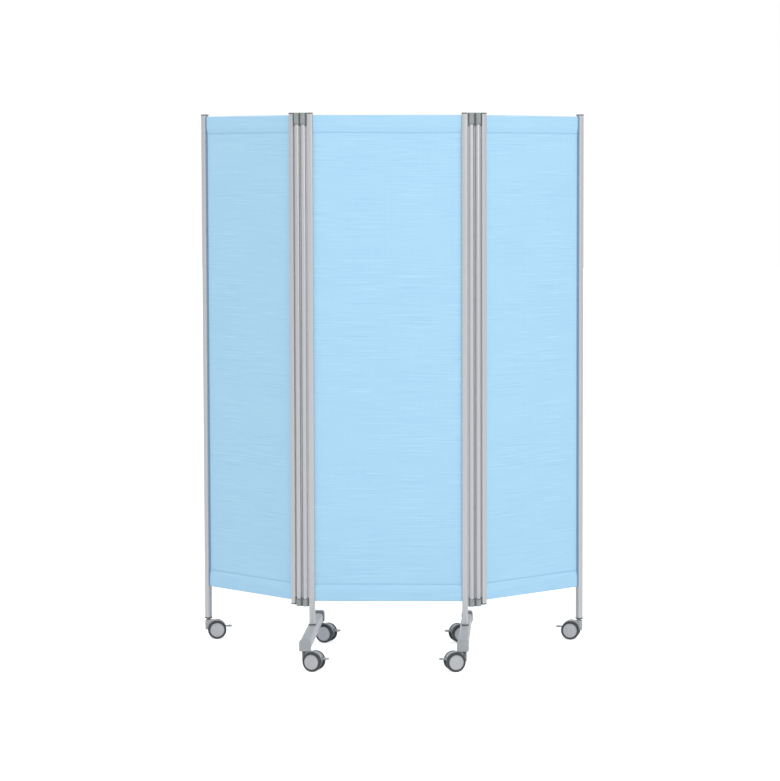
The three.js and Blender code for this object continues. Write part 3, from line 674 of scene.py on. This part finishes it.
def makeCloth(name, body, seat, opening, sizes, outerSide=0):
    low, high = boxOf(name)
    bottom, top = low[2] * 1000, high[2] * 1000
    hem, rail, stitch = sizes["hem"], sizes["railHeight"], sizes["stitchLine"]
    turn = np.linspace(0, np.pi / 2, sizes["foldRows"])
    hemSteps = np.concatenate([
        sizes["hemHalf"] * (1 - np.cos(turn)),
        np.linspace(sizes["railStart"], rail, sizes["railRows"]),
        np.linspace(sizes["slopeStart"], stitch - sizes["slopeEnd"], sizes["slopeRows"]),
        stitch + np.array(sizes["seamRows"]), hem + np.array(sizes["hemRows"])])
    margin = hem + sizes["hemMargin"]
    inner = np.linspace(margin, top - bottom - margin, sizes["innerRows"])
    fromBottom = np.concatenate([hemSteps, inner, (top - bottom - hemSteps)[::-1]])
    fromEdge = np.minimum(fromBottom, top - bottom - fromBottom)
    half = hemProfile(fromEdge, sizes)[:, None]
    # The hems end beside the posts, and between them the cloth reaches into their slots
    grow = np.clip((fromEdge - hem) / sizes["flare"], 0, 1)[:, None]
    reach = opening / 2 - sizes["seatGap"] + (sizes["slotReach"] + sizes["seatGap"]) * grow
    share = np.linspace(-1, 1, sizes["columns"])[None, :]
    x = reach * share
    z = np.broadcast_to(fromBottom[:, None], x.shape)
    # The stretched cloth's slight unevenness: slow waves that die out at the posts and hems
    quiet = (1 - share ** 2) * np.clip(
        (fromEdge[:, None] - sizes["stillEdge"]) / sizes["stillFade"], 0, 1)
    sway = sizes["wave"] * quiet * sum(
        strength * np.sin(x / wide + z / tall + phase)
        for strength, wide, tall, phase in sizes["waves"])
    front = np.stack([x, sway - half, z + bottom], axis=-1)
    back = np.stack([x, sway + half, z + bottom], axis=-1)[:, ::-1]
    grid = np.concatenate([front, back], axis=1)
    weave = 0.001 * grid[..., [0, 2]].reshape(-1, 2)
    if outerSide:
        # A wing's map counts up towards its outer edge, and lies clear of the centre panel's
        weave = weave * np.array([outerSide, 1]) + np.array([clothMap["wingStart"], 0])
    piece = makePiece(
        "cloth_" + name, [grid], seat, body, "cloth", [name], ownMap=("weave", weave))
    makeStitches(name, body, seat, opening, bottom, top, sizes)


def makeStitches(name, body, seat, opening, bottom, top, sizes):
    # Lockstitch on both faces of both hems: short bars of round thread, a pitch apart
    count = int((opening - sizes["stitchMargin"]) / sizes["stitchPitch"])
    centres = (np.arange(count) - (count - 1) / 2) * sizes["stitchPitch"]
    profile = np.array(sizes["thread"]) * np.array([1.0, sizes["stitchLength"]])
    bar = turned(profile, sides=8)[..., [2, 1, 0]]
    half = hemProfile(np.array([sizes["stitchLine"]]), sizes)[0]
    shells = []
    for height in (bottom + sizes["stitchLine"], top - sizes["stitchLine"]):
        for side in (-1, 1):
            shift = np.stack(np.broadcast_arrays(centres, side * half, height), axis=-1)
            shells += list(bar[None] + shift[:, None, None])
    makePiece(
        "stitches_" + name, shells, seat, body, "cloth",
        ownMap=("weave", np.zeros((len(shells) * bar[..., 0].size, 2))))


# Cross feet: painted box tube, end caps, and the collar and screw that hold the post. The photo
# shows a long sleeve and a dark band before it on the back caps, and neither on the front ones.
# The band's dark colour is painted shade, at the step before the back cap.
# The screw's head is a profile of (radius, height above the foot's underside).

foot = {
    "width": 32.0, "height": 31.0, "bottom": 66.0, "topCorner": 9.0, "bottomCorner": 4.0,
    "tubeLap": 0.2, "tubeEase": 0.3,
    "cap": 7.0, "capStep": 2.0, "capEase": 1.0, "capDrop": 3.6, "capLap": 0.1, "capInnerEase": 0.6,
    "sleeve": 20.0, "sleeveDrop": 1.6, "sleeveInnerEase": 0.5,
    "band": 29.0, "bandStep": 0.7, "bandLap": 0.5,
    "collarOutline": (22.0, 24.0, 4.0), "collarHeight": 3.0, "collarSink": 1.0,
    "collarGap": 0.1, "collarEase": 0.8,
    "screw": ((6.0, 0.3), (6.0, -0.6), (5.2, -2.2), (4.2, -3.0), (3.1, -3.4), (2.9, -3.2),
              (2.9, -1.4)),
}


def footOutline(sizes, proud=0.0, drop=0.0):
    # The box tube's section in x and z, or the same section standing proud of the sides and top
    # and dropped below
    half, low = sizes["width"] / 2 + proud, sizes["bottom"] - drop
    high = sizes["bottom"] + sizes["height"] + proud
    lower, upper = sizes["bottomCorner"], sizes["topCorner"] + proud
    return softened(
        [(-half, low), (half, low), (half, high), (-half, high)], [lower, lower, upper, upper],
        steps=8)


def makeFoot(side, sizes):
    # From the front: cap, tube, band, sleeve. The tube's ends lie at +- rim, half the foot's
    # length, and the caps stand past them.
    node = "foot_" + side
    low, high = boxOf(node)
    seat = (np.array([(low[0] + high[0]) / 2, (low[1] + high[1]) / 2]), np.array([1.0, 0.0]))
    rim = (high[1] - low[1]) * 500
    sleeveStart = rim - sizes["sleeve"]
    bandStart = sleeveStart - sizes["band"]
    ease, capEase = sizes["tubeEase"], sizes["capEase"]
    tube = eased(footOutline(sizes), sizes["tubeLap"] - rim, bandStart, ease, ease, steps=3)
    plate = eased(
        footOutline(sizes, sizes["capStep"], sizes["capDrop"]), -rim - sizes["cap"],
        sizes["capLap"] - rim, capEase, sizes["capInnerEase"], steps=6)
    sleeved = eased(
        footOutline(sizes, sizes["capStep"], sizes["sleeveDrop"]), sleeveStart, rim + sizes["cap"],
        sizes["sleeveInnerEase"], capEase, steps=6)
    band = eased(
        footOutline(sizes, sizes["bandStep"], sizes["bandStep"]), bandStart,
        sleeveStart + sizes["bandLap"], ease, 0, steps=3)
    top = sizes["bottom"] + sizes["height"]
    collar = eased(
        rectangle(*sizes["collarOutline"]), top - sizes["collarSink"],
        top + sizes["collarHeight"] - sizes["collarGap"], 0, sizes["collarEase"])
    screw = turned(sizes["screw"], sides=48) + np.array([0, 0, sizes["bottom"]])
    frontCap, backCap = "foot_end_cap_front_" + side, "foot_end_cap_back_" + side
    for name, shell, finish, replaced in (
            ("tube_" + node, acrossY(tube), "paint", [node]),
            ("collar_" + node, collar, "collar", []),
            ("screw_" + node, screw, "steel", []),
            ("plate_" + frontCap, acrossY(plate), "footCap", [frontCap]),
            ("plate_" + backCap, acrossY(sleeved), "footCap", [backCap]),
            # The band's dark colour is painted shade
            ("band_" + node, acrossY(band), "shadeBand", [])):
        makePiece(name, [shell], seat, "centre_frame", finish, replaced)


# Twin-wheel casters. The disc's back and dish and the tyre's side wall are profiles of (radius,
# depth below the wheel's outer face), and the tyre's inner edge one of (depth below the tread,
# distance across).

caster = {
    "trail": 27.0, "axleHeight": 30.0, "height": 66.0,
    "web": 22.0, "roof": 32.0, "lowRoof": 30.2, "fender": 30.4, "fenderEnd": 8.0,
    "bossDrop": 32.0, "ease": 2.0, "cheekEase": 3.4, "hubRadius": 9.0, "hubAngle": 30.0,
    "coreLap": 0.2, "coreDip": 1.0, "drumProud": 0.15, "drumEase": 1.0, "drumGap": 0.05,
    "wheelRadius": 30.0, "wheelWidth": 12.5, "innerFace": 11.5, "treadStart": 1.2, "treadRows": 50,
    "treadCrown": 0.2, "grooves": (2.6, 5.0), "grooveDepth": 0.6, "grooveHalf": 0.42,
    "shoulder": 5.5, "sideDrop": 4.2, "shoulderSpan": (4, 88), "shoulderRows": 14,
    "tyreBore": 25.0, "tyreInner": ((1.2, 0.0), (0.5, 0.4)),
    "tyreWall": ((24.6, 0.05), (23.8, 0.2), (23.3, 0.8), (23.2, 2.5), (25.0, 3.0)),
    "discBack": ((3.0, 10.5), (24.6, 10.5), (24.6, 3.5), (22.6, 3.2)), "lip": (21.85, 1.0, 0.7),
    "dish": ((20.9, 1.65), (17.0, 1.5), (9.0, 1.3), (5.2, 1.25), (4.6, 1.45), (4.2, 1.5),
             (1.5, 1.45)),
    "thrustRadius": 6.5, "thrustCut": 0.6, "thrustTop": 0.35, "thrustBevel": 0.55,
    "stemRadius": 4.0, "stemCut": (0.8, 1.0), "stemLength": 24.0, "stemSink": 1.0,
    "axlePinRadius": 2.4, "axlePinInset": 4.0,
    "ringRadius": 11.4, "ringHeight": 10.0, "ringTop": 0.7, "ringLowCut": 0.5, "ringTopCut": 0.8,
}

pedal = {
    "pivotReach": 19.0, "pivotAngle": 30.0, "gap": 0.3, "ease": 0.5,
    "boss": 5.0, "neck": 13.0, "pin": 2.0, "pinInset": 0.3, "pinEase": 0.3,
    "arm": 4.0, "armCorner": 0.6, "armLap": 5.0,
    "padStart": 61.0, "padTip": 75.5, "padWidth": 18.0, "tipWidth": 10.0, "padThickness": 4.8,
    "padTaper": 4.0, "padCorners": (0.8, 1.6, 2.0, 1.8, 1.8, 2.0, 1.6, 0.8),
    "padLowEase": 0.8, "padHighEase": 1.2,
}


def pedalPivot(sizes):
    # The pedal's pin, at pivotReach and pivotAngle from the axle
    angle = math.radians(pedal["pivotAngle"])
    return (sizes["trail"] + pedal["pivotReach"] * math.cos(angle),
            sizes["axleHeight"] + pedal["pivotReach"] * math.sin(angle))


def hoodShells(sizes):
    # The web between the wheels as two cheeks and a core, whose side view runs from the stem
    # under the hub and back over the wheels along the fender's arc; and the drum under the stem
    trail, axle, fender = sizes["trail"], sizes["axleHeight"], sizes["fender"]
    top, half = axle + sizes["roof"], sizes["web"] / 2
    low = top - sizes["bossDrop"]
    pivotX, pivotZ = pedalPivot(sizes)
    ceiling = pivotZ + pedal["boss"] + pedal["gap"]
    wall = pivotX - pedal["boss"] - pedal["gap"]
    slotHalf = pedal["neck"] / 2 + pedal["gap"]
    coreHalf = slotHalf + sizes["coreLap"]
    ceilingAngle = math.degrees(math.asin((ceiling - axle) / fender))
    hub = arcOf(
        trail, axle, sizes["hubRadius"], sizes["hubAngle"] - 180, -sizes["hubAngle"], steps=12)
    cheek = np.concatenate([
        [(0, low)], hub, arcOf(trail, axle, fender, sizes["fenderEnd"], 90, steps=28),
        [(0, top)]])
    core = np.concatenate([
        [(0, low)], hub, [(wall, axle - sizes["coreDip"]), (wall, ceiling)],
        arcOf(trail, axle, fender, ceilingAngle, 90, steps=24), [(0, top)]])
    side = acrossY(eased(cheek, slotHalf, half, 0, sizes["cheekEase"], steps=6))
    drum = eased(
        circle(0, 0, half + sizes["drumProud"], steps=64), low, top - sizes["drumGap"],
        sizes["drumEase"], sizes["ease"], steps=6)
    core = acrossY(eased(core, -coreHalf, coreHalf, 0, 0, steps=1))
    return [side, side * np.array([1, -1, 1]), core], drum


def tyreProfile(sizes):
    # Section of the tyre as (radius, across): inner face, a faintly crowned tread with fine
    # grooves, a round shoulder, and the side wall down to the disc
    radius, width, bore = sizes["wheelRadius"], sizes["wheelWidth"], sizes["tyreBore"]
    across = np.linspace(sizes["treadStart"], width - sizes["shoulder"], sizes["treadRows"])
    crown = sizes["treadCrown"] * (across / width) ** 2
    grooves = sum(
        sizes["grooveDepth"] * np.exp(-((across - at) / sizes["grooveHalf"]) ** 4)
        for at in sizes["grooves"])
    tread = np.stack([radius - crown - grooves, across], axis=1)
    turn = np.radians(np.linspace(*sizes["shoulderSpan"], sizes["shoulderRows"]))
    shoulder = np.stack([
        tread[-1, 0] - sizes["sideDrop"] * (1 - np.cos(turn)),
        width - sizes["shoulder"] * (1 - np.sin(turn))], axis=1)
    wall = np.array([(at, width - depth) for at, depth in sizes["tyreWall"]])
    inner = np.array([(radius - drop, at) for drop, at in sizes["tyreInner"]])
    return np.concatenate([[(bore, 0.0)], inner, tread, shoulder, wall])


def discProfile(sizes):
    # Section of the wheel's disc: a shallow dish with a round lip, and a hub dimple
    face = sizes["wheelWidth"]
    lipAt, lipDepth, lipRadius = sizes["lip"]
    back, dish = ([(at, face - depth) for at, depth in sizes[key]] for key in ("discBack", "dish"))
    lip = arcOf(lipAt, face - lipDepth, lipRadius, 0, 180, steps=8)
    return np.concatenate([back, lip, dish])


def makeCaster(place, sizes):
    underFoot = not place.startswith("wing")
    if underFoot:
        sizes = {**sizes, "roof": sizes["lowRoof"]}
    body = "caster_" + place
    axis = np.array(joints["wheel_a_spin_" + place]["axis"][:2], float)
    seat = (jointPlace("swivel_" + place)[:2], np.array([axis[1], -axis[0]]))
    hood, drum = hoodShells(sizes)
    if not underFoot:
        hood.append(drum)
    makePiece("hood_" + place, hood, seat, body, "hood", ["caster_hood_" + place])
    makeStem(place, seat, body, sizes)
    if underFoot:
        # Under the feet the photo's casters are dark about the stem, and paler below that
        # The dark ring and the grey drum here are painted shade under the foot; the wing casters'
        # drum is pale like the hood
        radius, lowCut, topCut = sizes["ringRadius"], sizes["ringLowCut"], sizes["ringTopCut"]
        top = sizes["height"] - sizes["ringTop"]
        low = top - sizes["ringHeight"]
        ring = turned([
            (radius - lowCut, low), (radius, low + lowCut), (radius, top - topCut),
            (radius - topCut, top)])
        makePiece("swivel_ring_" + place, [ring], seat, body, "collar")
        makePiece("drum_" + place, [drum], seat, body, "drum")
    for letter, side in (("a", 1), ("b", -1)):
        wheel = letter + "_" + place
        hub = np.array([sizes["trail"], side * sizes["innerFace"], sizes["axleHeight"]])
        turn = np.array([1, side, 1])
        tyre = acrossY(turned(tyreProfile(sizes), sides=96)) * turn + hub
        disc = acrossY(turned(discProfile(sizes), sides=72)) * turn + hub
        makePiece(
            "tyre_" + wheel, [tyre], seat, "wheel_" + wheel, "tyre",
            ["caster_wheel_" + wheel], rings=True)
        makePiece("disc_" + wheel, [disc], seat, "wheel_" + wheel, "disc")
    makePedal(place, seat, sizes)


def makeStem(place, seat, body, sizes):
    # The steel in a caster: thrust collar under the post or foot, stem up into it, and axle
    roof, height = sizes["axleHeight"] + sizes["roof"] - sizes["stemSink"], sizes["height"]
    radius, cut, collarTop = sizes["thrustRadius"], sizes["thrustCut"], height - sizes["thrustTop"]
    thrust = turned([
        (radius - cut, roof), (radius, roof + sizes["stemSink"]),
        (radius, collarTop - sizes["thrustBevel"]), (radius - cut, collarTop)])
    stemRadius, stemTop = sizes["stemRadius"], height + sizes["stemLength"]
    cutIn, cutDown = sizes["stemCut"]
    stem = turned([
        (stemRadius, roof), (stemRadius, stemTop - cutDown), (stemRadius - cutIn, stemTop)])
    pinRadius = sizes["axlePinRadius"]
    pinReach = sizes["innerFace"] + sizes["wheelWidth"] - sizes["axlePinInset"]
    pin = acrossY(turned([(pinRadius, -pinReach), (pinRadius, pinReach)], sides=32))
    pin = pin + np.array([sizes["trail"], 0, sizes["axleHeight"]])
    makePiece("stem_" + place, [thrust, stem, pin], seat, body, "steel")


def makePedal(place, seat, sizes):
    # Boss and pin between the hood's cheeks, an arm, and the tapered pad that a foot presses
    pivotX, pivotZ = pedalPivot(sizes)
    half, tip, neck = pedal["padWidth"] / 2, pedal["tipWidth"] / 2, pedal["neck"] / 2
    start, end, ease = pedal["padStart"], pedal["padTip"], pedal["ease"]
    wideStart, wideEnd = start + pedal["padTaper"], end - pedal["padTaper"]
    pad = softened(
        [(start, -neck), (wideStart, -half), (wideEnd, -half), (end, -tip), (end, tip),
         (wideEnd, half), (wideStart, half), (start, neck)],
        pedal["padCorners"], steps=5)
    thick = pedal["padThickness"] / 2
    plate = eased(pad, pivotZ - thick, pivotZ + thick, pedal["padLowEase"], pedal["padHighEase"])
    boss = eased(circle(pivotX, pivotZ, pedal["boss"], steps=40), -neck, neck, ease, ease)
    armEnd, pinEnd = start + pedal["armLap"], sizes["web"] / 2 - pedal["pinInset"]
    bar = rectangle(
        armEnd - pivotX, pedal["arm"], pedal["armCorner"], (armEnd + pivotX) / 2, pivotZ)
    arm = eased(bar, -neck, neck, ease, ease)
    rod, pinEase = circle(pivotX, pivotZ, pedal["pin"], steps=24), pedal["pinEase"]
    pin = eased(rod, -pinEnd, pinEnd, pinEase, pinEase)
    makePiece(
        "pedal_lever_" + place, [plate, acrossY(boss), acrossY(arm), acrossY(pin)], seat,
        "pedal_" + place, "hood", ["brake_pedal_" + place])


# Putting the screen together, one side at a time

openings = {"centre": 462.0, "wing": 386.0}
rightwards = np.array([1.0, 0.0])


def makeSide(side):
    hinge = jointPlace("link_turn_" + side)
    wingHinge = jointPlace("wing_turn_" + side)
    outer = jointPlace("swivel_wing_" + side)[:2]
    inwards = rightwards if side == "left" else -rightwards
    outwards = direction(wingHinge[:2], outer)
    reach = 0.001 * hingeReach(post)
    centreSeat = (hinge[:2] + inwards * reach, inwards)
    innerSeat = (wingHinge[:2] + outwards * reach, outwards)
    outerSeat = (outer, -outwards)
    wing = "wing_" + side
    for name, caps, body, seat in (
            ("centre_post", ["centre_post_cap"], "centre_frame", centreSeat),
            ("wing_inner_post", ["wing_inner_cap", "wing_inner_end_cap"], wing, innerSeat),
            ("wing_outer_post", ["wing_outer_cap"], wing, outerSeat)):
        makePost(name + "_" + side, body, seat, seat is not outerSeat, post)
        for cap in caps:
            makePostCap(cap + "_" + side, body, seat, "end_cap" not in cap, postCap)
    makeSocketPlug("wing_outer_plug_" + side, wing, outerSeat, socketPlug)
    spacing = np.linalg.norm(wingHinge - hinge) * 1000
    linkSeat = (hinge[:2], direction(hinge, wingHinge))
    for end, upsideDown in (("top", True), ("bottom", False)):
        makeBracket(
            "hinge_bracket_" + end + "_" + side, "hinge_link_" + side, linkSeat, spacing,
            upsideDown, bracket)
    # Each panel's front faces the room's front: its own x runs from left to right
    outerSide = 1 if side == "right" else -1
    middle = (innerSeat[0] + outer) / 2
    makeCloth(
        "fabric_" + side, wing, (middle, outerSide * outwards), openings["wing"], cloth,
        outerSide)
    makeFoot(side, foot)


for side in ("left", "right"):
    makeSide(side)
    print("screen: made the", side, "side")

centreLow, centreHigh = boxOf("fabric_centre")
makeCloth(
    "fabric_centre", "centre_frame", ((centreLow[:2] + centreHigh[:2]) / 2, rightwards),
    openings["centre"], cloth)
for place in ("front_left", "back_left", "front_right", "back_right", "wing_left", "wing_right"):
    makeCaster(place, caster)
for name, node in frame["nodes"].items():
    if name.startswith("hem_rail"):
        node.data.materials.clear()
        node.data.materials.append(finishes["aluminium"])
print("screen: cloth and casters made")


# Studio: a pale floor that runs out to white, a soft key from the front right and a soft fill

studio = {
    "keyPlace": (2.9, -3.9, 3.0), "keySize": 3.2, "keyPower": 62.0,
    "fillPlace": (-2.6, -2.2, 4.6), "fillSize": 3.5, "fillPower": 27.0,
    "aim": (0.0, 0.0, 0.85), "ambient": 0.8,
    "floorReach": 30.0, "floorColor": "F2F2F2", "floorGlow": 0.62,
}


def makeLamp(name, sizes):
    lamp = bpy.data.lights.new(name, "AREA")
    lamp.shape = "DISK"
    lamp.size = sizes[name + "Size"]
    lamp.energy = sizes[name + "Power"]
    holder = inScene(name, lamp)
    holder.location = sizes[name + "Place"]
    aim = np.array(sizes["aim"]) - np.array(sizes[name + "Place"])
    holder.rotation_euler = (
        math.atan2(math.hypot(aim[0], aim[1]), -aim[2]), 0.0, math.atan2(-aim[0], aim[1]))


def whiteRays(tree):
    # 1 for the rays that see the plain white background: straight, mirrored and passed through
    path = addNode(tree, "ShaderNodeLightPath")
    seen = path.outputs["Is Camera Ray"]
    for kind in ("Is Glossy Ray", "Is Transmission Ray"):
        seen = addNode(
            tree, "ShaderNodeMath", {"operation": "MAXIMUM"},
            {0: seen, 1: path.outputs[kind]}).outputs[0]
    return seen


def makeFloor(sizes):
    reach = sizes["floorReach"]
    mesh = bpy.data.meshes.new("studioFloor")
    mesh.from_pydata(
        [(-reach, -reach, 0), (reach, -reach, 0), (reach, reach, 0), (-reach, reach, 0)], [],
        [(0, 1, 2, 3)])
    material, tree, shader, _ = newMaterial("studioFloor", {
        "Base Color": fromHex(sizes["floorColor"]), "Roughness": 0.9, "Specular IOR Level": 0.0})
    glow = addNode(
        tree, "ShaderNodeMath", {"operation": "MULTIPLY", 1: sizes["floorGlow"]},
        {0: whiteRays(tree)})
    emission = addNode(
        tree, "ShaderNodeEmission", {"Color": (1, 1, 1, 1)}, {"Strength": glow.outputs[0]})
    both = addNode(
        tree, "ShaderNodeAddShader", links={0: shader.outputs[0], 1: emission.outputs[0]})
    tree.links.new(both.outputs[0], tree.nodes["Material Output"].inputs["Surface"])
    mesh.materials.append(material)
    inScene("studioFloor", mesh)


def makeWorld(sizes):
    world = bpy.data.worlds.new("studioWorld")
    world.use_nodes = True
    tree = world.node_tree
    tree.nodes.clear()
    strength = addNode(
        tree, "ShaderNodeMapRange", {"To Min": sizes["ambient"], "To Max": 1.0},
        {"Value": whiteRays(tree)})
    background = addNode(
        tree, "ShaderNodeBackground", {"Color": (1, 1, 1, 1)}, {"Strength": strength.outputs[0]})
    addNode(tree, "ShaderNodeOutputWorld", links={"Surface": background.outputs[0]})
    bpy.context.scene.world = world


for name in ("key", "fill"):
    makeLamp(name, studio)
makeFloor(studio)
makeWorld(studio)
bpy.context.scene.view_settings.view_transform = "Standard"
print("screen: studio ready")
